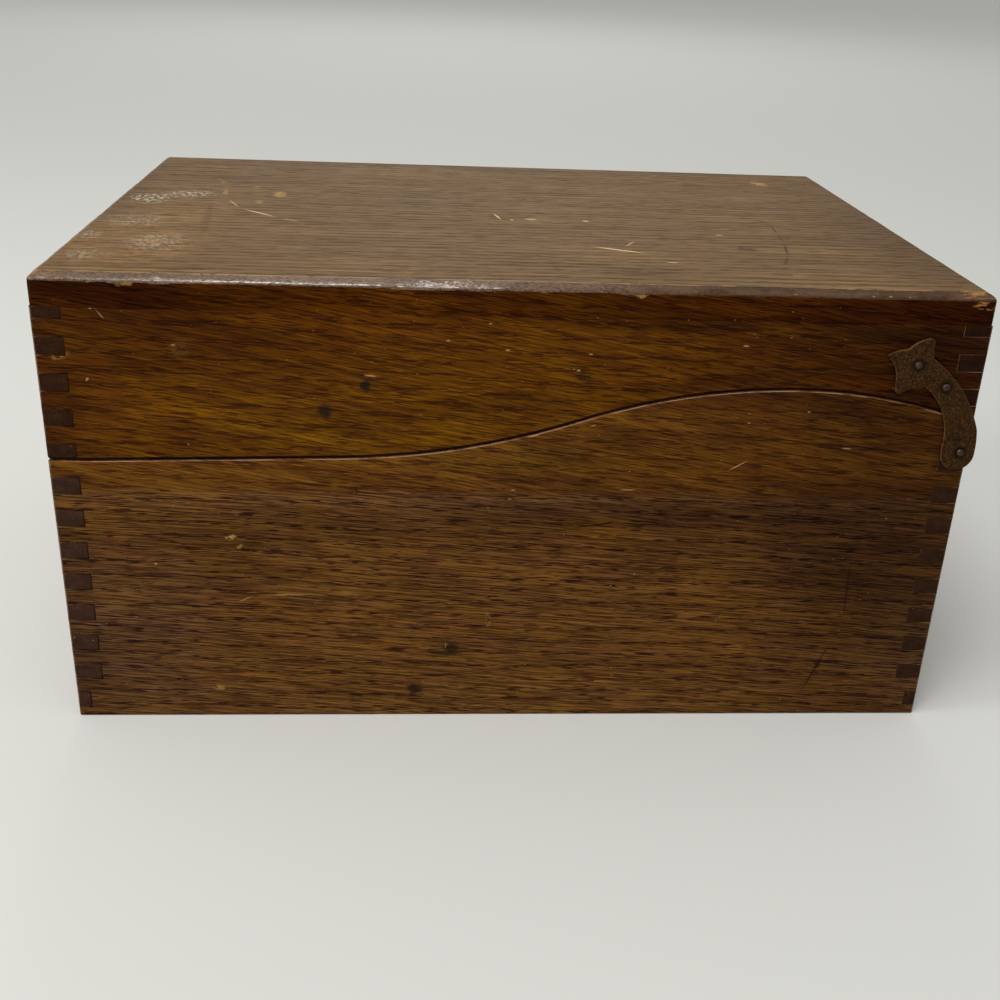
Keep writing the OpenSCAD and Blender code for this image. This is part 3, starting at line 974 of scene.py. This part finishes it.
# The grid is closed below by one face, and has four kinds of wood: top, near edge, other edges, underside.
def makeTopPanel():
    points = panelPoints()
    index = np.arange(points[..., 0].size).reshape(points.shape[:2])
    quads = np.stack([index[:-1, :-1], index[1:, :-1], index[1:, 1:], index[:-1, 1:]], -1)
    piece = newPiece("lid_top_panel", points.reshape(-1, 3), quads.reshape(-1, 4).tolist())
    mesh = piece.data
    shape = bmesh.new()
    shape.from_mesh(mesh)
    bmesh.ops.remove_doubles(shape, verts=shape.verts, dist=1e-6)
    bmesh.ops.dissolve_degenerate(shape, edges=shape.edges, dist=1e-7)
    bmesh.ops.contextual_create(shape, geom=[edge for edge in shape.edges if edge.is_boundary])
    bmesh.ops.recalc_face_normals(shape, faces=shape.faces)
    for edge in shape.edges:
        edge.smooth = not (edge.is_manifold and edge.calc_face_angle() > math.radians(50))
    shape.to_mesh(mesh)
    print("top panel: open edges", sum(not edge.is_manifold for edge in shape.edges))
    shape.free()
    smoothFaces(mesh)
    x, y, z = (readAll(mesh.vertices, "co", float, 3) / mm).T
    depth = np.minimum(np.minimum(x - box["frontX"], box["backX"] - x), box["sideY"] - np.abs(y))
    setWearAndShading(mesh, nearTo(depth, *topPanel["wornReach"]) * rising(z, *topPanel["wornHeight"]))
    for name, look in (("top", topPanel), ("edge", panelEdge), ("rim", panelRim), ("under", panelUnder)):
        mesh.materials.append(oakMaterial(f"lid_{name}_oak", look))
    facing = readAll(mesh.polygons, "normal", float, 3)
    kind = np.select([facing[:, 2] < -0.7, facing[:, 2] >= 0.25, facing[:, 1] < -0.5], [3, 0, 1], 2)
    mesh.polygons.foreach_set("material_index", kind.astype(np.int32))
    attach(piece, "lid")
    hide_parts("lid_top")


makeTopPanel()
print("top panel made")

strap = {
    "pivot": (118.75, 85.153),
    "corners": [
        (4, -0.2, 0.2), (3.4, 6.6, 2), (-12.1, 26.3, -0.2), (-12.6, 30.5, 0.5),
        (-14.2, 31.8, 0.45), (-19.3, 28.7, 0.4), (-24.5, 27, -0.4), (-21.3, 21.7, 0.1),
        (-21, 18, 0.6), (-19.4, 16.6, -0.1), (-16.6, 18.2, 0.5), (-13.5, 18.8, -2.4),
        (-5.3, 2.6, 0.15), (-5.2, -0.2, 4.9),
    ],
    "pointGap": 0.45,
    "thick": 0.9,
    "edgeInset": (0.05, 0.18),
    "edgeHeight": (0.72, 0.84, 0.9),
    "grid": 0.5,
    "hammer": 0.045,
    "hammerDepth": 0.16,
    "hammerWaves": [(0.8, 3, 3.2), (0.6, 4, 1.4)],  # share, seed and size
    "flatRim": 0.2,
    "flatHead": 1.3,
    "fade": 0.8,
    "nails": [(-15.9, 24.5), (-7.4, 18.5)],
    "holeRadius": 0.8,
}

# How the shank, head and tip are formed, how far from true, and the steel's two browns.
nail = {
    "shankRadius": 0.75,
    "shankDepth": 6,
    "pointLength": 1.6,
    "headRadius": 1.1,
    "headHeight": 0.72,
    "rimRound": (0.12, 0.04),
    "tip": (0.08, 0.15),
    "pinPlay": 0.1,
    "turns": 32,
    "unevenness": 0.02,
    "brown": (70, 46, 28),
    "dark": (38, 23, 12),
}


# Points of the arc from one corner to the next, about pointGap apart. The bulge swells to the right of
# the way.
def arcPoints(first, second):
    a, b, bulge = np.array(first[:2]), np.array(second[:2]), first[2]
    chord = b - a
    half = np.linalg.norm(chord) / 2
    side = np.array([chord[1], -chord[0]]) / (2 * half)
    radius = (half ** 2 + bulge ** 2) / (2 * bulge)
    centre = (a + b) / 2 + (bulge - radius) * side
    turn = 4 * math.atan(bulge / half)
    steps = max(2, math.ceil(abs(turn * radius) / strap["pointGap"]))
    t = turn * np.arange(steps) / steps
    x, y = a - centre
    turned = [x * np.cos(t) - y * np.sin(t), x * np.sin(t) + y * np.cos(t)]
    return centre + np.stack(turned, -1)


# Whether each point is within a closed loop: how often a line from it crosses the loop.
def insideLoop(points, loop):
    x, y = points[:, 0, None], points[:, 1, None]
    x1, y1 = loop.T
    x2, y2 = np.roll(loop, -1, 0).T
    rise = np.where(np.abs(y2 - y1) < 1e-12, 1e-12, y2 - y1)
    crossed = ((y1 > y) != (y2 > y)) & (x < (x2 - x1) * (y - y1) / rise + x1)
    return crossed.sum(1) % 2 == 1


# Distance of each point from the nearest of others.
def distanceTo(points, others):
    return np.linalg.norm(points[:, None] - np.array(others)[None], axis=2).min(1)


# Loop moved inwards by a distance, along the mean of the two edges' normals at each point.
def insetLoop(loop, distance):
    ahead = np.roll(loop, -1, 0) - loop
    ahead /= np.linalg.norm(ahead, axis=1)[:, None]
    behind = np.roll(ahead, 1, 0)
    inward = np.stack([-(ahead + behind)[:, 1], (ahead + behind)[:, 0]], -1)
    inward /= np.maximum(np.linalg.norm(inward, axis=1), 0.5)[:, None]
    return loop + inward * distance


# Flat strap with a rounded rim and a hammered face: its plan is triangulated once, and used for the face
# and, flat, for the back, with walls round the outline and the three holes.
def strapShape():
    grid, hole = strap["grid"], strap["holeRadius"]
    corners = strap["corners"]
    outline = np.concatenate([arcPoints(*pair) for pair in zip(corners, corners[1:] + corners[:1])])
    rings = [outline] + [insetLoop(outline, distance) for distance in strap["edgeInset"]]
    angle = np.linspace(0, 2 * np.pi, 20, endpoint=False)
    circle = np.stack([np.cos(angle), np.sin(angle)], -1) * hole
    middles = [(0, 0)] + strap["nails"]
    low, high = outline.min(0), outline.max(0)
    gx, gy = np.meshgrid(np.arange(low[0], high[0], grid), np.arange(low[1], high[1], grid))
    gx = gx + (np.arange(gx.shape[0]) % 2)[:, None] * grid / 2
    field = np.stack([gx.ravel(), gy.ravel()], -1)
    field = field[insideLoop(field, rings[-1])]
    apart = distanceTo(field, rings[-1]) > 0.6 * grid
    field = field[apart & (distanceTo(field, middles) > hole + 0.6 * grid)]
    loops = rings + [circle + np.array(middle) for middle in middles]
    ties, start = [], 0
    for loop in loops:
        count = len(loop)
        ties += [(start + i, start + (i + 1) % count) for i in range(count)]
        start += count
    spots = [Vector(spot) for spot in np.concatenate(loops + [field]).tolist()]
    plan, _, triangles = geometry.delaunay_2d_cdt(spots, ties, [], 0, 1e-6, False)[:3]
    plan = np.array([tuple(spot) for spot in plan])
    triangles = np.array([list(triangle) for triangle in triangles])
    centres = plan[triangles].mean(1)
    kept = insideLoop(centres, outline) & (distanceTo(centres, middles) > hole * 0.98)
    triangles = triangles[kept]
    first, second, third = plan[triangles].transpose(1, 0, 2)
    turned = np.cross(second - first, third - first) < 0
    triangles[turned] = triangles[turned][:, ::-1]
    # the face: hammered, but flat at the rim and under the heads
    toOutline, toNail = distanceTo(plan, outline), distanceTo(plan, middles)
    relief = 1.0
    for share, seed, size in strap["hammerWaves"]:
        relief = relief + share * ripple(plan[:, 0], plan[:, 1], seed, size)
    height = strap["thick"] - (
        np.clip(strap["hammer"] * relief, 0, strap["hammerDepth"])
        * rising(toOutline, strap["flatRim"], strap["fade"])
        * rising(toNail, strap["flatHead"], strap["fade"])
    )
    count = len(outline)
    for ring, rise in enumerate(strap["edgeHeight"]):
        height[ring * count:(ring + 1) * count] = rise
    # edges used once are the outline and the holes: their walls join the face to the back
    sides = np.concatenate([triangles[:, [0, 1]], triangles[:, [1, 2]], triangles[:, [2, 0]]])
    keys = {tuple(side) for side in sides.tolist()}
    single = np.array([side for side in keys if (side[1], side[0]) not in keys])
    total = len(plan)
    walls = np.stack([single[:, 1], single[:, 0], single[:, 0] + total, single[:, 1] + total], -1)
    faces = triangles.tolist() + (triangles[:, ::-1] + total).tolist() + walls.tolist()
    return plan, height, toOutline < 0.1, faces


# Lathed shape: (radius, height) points carried round the axis, closed at both ends, slightly out of true.
def lathe(profile, turns, seed, unevenness):
    profile = np.array(profile, float)
    angle = np.linspace(0, 2 * np.pi, turns, endpoint=False)
    r, h = profile[1:-1, 0, None], profile[1:-1, 1, None] + 0 * angle
    cos, sin = np.cos(angle), np.sin(angle)
    wobble = 1 + unevenness * ripple(cos * 2 * r, sin * 2 * r + h * 2, seed, 2.5) * (h > 0)
    ring = np.stack([r * cos * wobble, r * sin * wobble, h], -1).reshape(-1, 3)
    points = np.concatenate([[[0, 0, profile[0, 1]]], ring, [[0, 0, profile[-1, 1]]]])
    rows = len(profile) - 2
    index = 1 + np.arange(rows * turns).reshape(rows, turns)
    beside = np.roll(index, -1, 1)
    quads = np.stack([index[:-1], beside[:-1], beside[1:], index[1:]], -1).reshape(-1, 4)
    last = len(points) - 1
    caps = [[0, b, a] for a, b in zip(index[0].tolist(), beside[0].tolist())]
    caps += [[last, a, b] for a, b in zip(index[-1].tolist(), beside[-1].tolist())]
    return points, quads.tolist() + caps


# A nail from its point at the bottom to the crown of its domed head, whose underside is at headBase. The
# head is the cap of a ball of radius (r^2 + rise^2) / (2 rise).
def nailProfile(headBase):
    r, depth, head, rise = (nail[key] for key in ("shankRadius", "shankDepth", "headRadius", "headHeight"))
    (tipRadius, tipLength), (roundIn, roundUp) = nail["tip"], nail["rimRound"]
    ball = (head ** 2 + rise ** 2) / (2 * rise)
    lift = np.linspace(math.asin(head / ball), 0, 9)[1:-1]
    dome = [(ball * math.sin(t), headBase + rise - ball + ball * math.cos(t)) for t in lift]
    shank = [(0, -depth), (tipRadius, -depth + tipLength), (r, -depth + nail["pointLength"]), (r, 0)]
    rim = [(r, headBase), (head - roundIn, headBase), (head, headBase + roundUp)]
    return shank + rim + dome + [(0, headBase + rise)]


# Points (back, up, out of the wood) on the right (-1) or left (1) side face, spot away from the pivot.
def onSide(points, spot, side):
    back, up, out = np.asarray(points).T
    x = strap["pivot"][0] + spot[0] + back
    z = strap["pivot"][1] + spot[1] + up
    return np.stack([x, side * (box["sideY"] + out), z], -1)


# Keeps the faces outward on both sides.
def flipFor(side, faces):
    return faces if side < 0 else [face[::-1] for face in faces]


metal = {
    "dark": (38, 21, 9),
    "brown": (54, 30, 12),
    "olive": (58, 37, 13),
    "deep": (22, 11, 6),
    "bright": (112, 78, 44),
}


# Stamped and lacquered strap metal: mottled brown and olive, dark grime round the nails, and rims painted
# paler as a painted highlight.
def strapMaterial():
    made, tree, shader = startMaterial("strap_bronze")
    spot, (x, _, z) = places(tree)
    mottle = grainNoise(spot, (2.5, 2.5, 2.5), 5, 0.7)
    fine = grainNoise(spot, (0.4, 0.4, 0.4), 2, 0.7, 5)
    tones = [(0, metal["dark"]), (0.5, metal["olive"]), (1, metal["brown"])]
    colour = colourRamp(step(mottle, 0.3, 0.7), tones)
    colour = layered(step(fine, 0.5, 0.4, 0.6), colour, metal["deep"])
    colour = layered(step(fine, 0.56, 0.66, 0.4), colour, metal["bright"])
    pivotX, pivotZ = strap["pivot"]
    heads = [(pivotX + back, pivotZ + up, 2.4, 2.4, 0.8) for back, up in [(0, 0)] + strap["nails"]]
    grime = markField(joinXyz(x, z), heads, 0.55)
    colour = layered(grime, colour, metal["deep"])
    # The rim is painted paler: a painted highlight where it catches the light.
    wearAndShading = addNode("Attribute", tree=tree, attribute_name="wearAndShading").outputs["Fac"]
    paleEdges = times(wearAndShading, step(mottle, 0.3, 0.6), 0.8)
    colour = layered(paleEdges, colour, metal["bright"])
    feed(shader.inputs["Base Color"], colour)
    shader.inputs["Metallic"].default_value = 0.05
    shader.inputs["Specular IOR Level"].default_value = 0.05
    feed(shader.inputs["Roughness"], scaled(fine, 0.35, 0.4))
    addBump(shader, scaled(mottle, 0.8, fine), 0.7, 0.0001)
    return made


# Dull brown steel with darker patches.
def nailMaterial():
    made, tree, shader = startMaterial("nail_steel")
    patches = grainNoise(places(tree)[0], (0.9, 0.9, 0.9), 3, 0.6)
    colour = layered(step(patches, 0.38, 0.6), paint(*nail["brown"]), nail["dark"])
    feed(shader.inputs["Base Color"], colour)
    shader.inputs["Metallic"].default_value = 0.5
    rough = calc("ADD", step(patches, 0.35, 0.7, 0.3), 0.28)
    feed(shader.inputs["Roughness"], rough)
    return made


strapMetal, nailMetal = strapMaterial(), nailMaterial()
plan, height, atRim, strapFaces = strapShape()
for name, side in (("right", -1), ("left", 1)):
    face = onSide(np.column_stack([plan, height]), (0, 0), side)
    back = onSide(np.column_stack([plan, 0 * height]), (0, 0), side)
    piece = newPiece(f"hinge_strap_{name}_stamped", np.concatenate([face, back]), flipFor(side, strapFaces))
    setWearAndShading(piece.data, np.concatenate([atRim, np.zeros(len(height), bool)]))
    piece.data.materials.append(strapMetal)
    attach(piece, "lid")
    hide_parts(f"hinge_strap_{name}")
print("straps made")


# One nail at each spot on both sides, as a single piece.
def makeNails(name, node, body, spots, headBase):
    points, faces, start = [], [], 0
    for side in (-1, 1):
        for number, spot in enumerate(spots):
            seed = 20 + number + side
            form, rings = lathe(nailProfile(headBase), nail["turns"], seed, nail["unevenness"])
            points.append(onSide(form, spot, side))
            faces += [[start + i for i in face] for face in flipFor(side, rings)]
            start += len(form)
    piece = newPiece(name, np.concatenate(points), faces)
    piece.data.materials.append(nailMetal)
    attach(piece, body)
    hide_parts(node)


makeNails("strap_nails_domed", "strap_nails", "lid", strap["nails"], strap["thick"])
makeNails("pivot_pins_domed", "pivot_pins", "base", [(0, 0)], strap["thick"] + nail["pinPlay"])
print("nails and pins made")

studio = {
    "floorHalf": 12,
    "floorColour": (208, 209, 206),
    "worldColour": (0.98, 0.97, 0.94),
    "worldStrength": 0.6,
    "farFloor": 0.385,
    "lampColour": (1, 0.985, 0.96),
}

floorCorners = np.array([[-1, -1, 0], [1, -1, 0], [1, 1, 0], [-1, 1, 0]]) * studio["floorHalf"] / mm
floor = newPiece("floor", floorCorners, [[0, 1, 2, 3]])
floorMaterial, floorTree, floorShader = startMaterial("pale_floor")
floorShader.inputs["Base Color"].default_value = paint(*studio["floorColour"])
floorShader.inputs["Roughness"].default_value = 0.9
floorShader.inputs["Specular IOR Level"].default_value = 0.1
floor.data.materials.append(floorMaterial)

world = bpy.data.worlds.new("studioAir")
bpy.context.scene.world = world
world.use_nodes = True
air = world.node_tree
air.nodes["Background"].inputs[0].default_value = (*studio["worldColour"], 1)
# what is seen past the floor is as dark as the far floor, so that no edge shows
seen = addNode("LightPath", tree=air).outputs["Is Camera Ray"]
dimmed = studio["farFloor"] - studio["worldStrength"]
feed(air.nodes["Background"].inputs[1], scaled(seen, dimmed, studio["worldStrength"]))

# Soft area lamps: place, point aimed at, size and power.
lamps = {
    "overhead": {"at": (-0.27, -0.5, 1.1), "aim": (0, 0, 0.06), "size": 0.5, "power": 6.4},
    "left": {"at": (-1.1, -0.3, 0.8), "aim": (0, 0, 0.06), "size": 0.5, "power": 5.5},
    "behind": {"at": (0, 2.4, 1.8), "aim": (0, 1.6, 0), "size": 1.4, "power": 12.0},
}
for name, lamp in lamps.items():
    light = bpy.data.lights.new(name, "AREA")
    light.shape = "DISK"
    light.size = lamp["size"]
    light.energy = lamp["power"]
    light.color = studio["lampColour"]
    holder = bpy.data.objects.new(name, light)
    holder.location = lamp["at"]
    way = Vector(lamp["aim"]) - Vector(lamp["at"])
    holder.rotation_euler = way.to_track_quat("-Z", "Y").to_euler()
    bpy.context.scene.collection.objects.link(holder)

view = {
    "at": (-0.025603, -0.378096, 0.206558),
    "turn": (65.855, -2.308, -3.532),
    "lens": 43.37,
    "shift": (-0.01185, -0.01984),
}
camera = bpy.data.cameras.new("photoCamera")
camera.lens = view["lens"]
camera.shift_x, camera.shift_y = view["shift"]
camera.clip_start = 0.01
holder = bpy.data.objects.new("photoCamera", camera)
holder.location = view["at"]
holder.rotation_euler = [math.radians(a) for a in view["turn"]]
bpy.context.scene.collection.objects.link(holder)
bpy.context.scene.camera = holder
bpy.context.scene.view_settings.view_transform = "Standard"
print("floor, light and camera made")
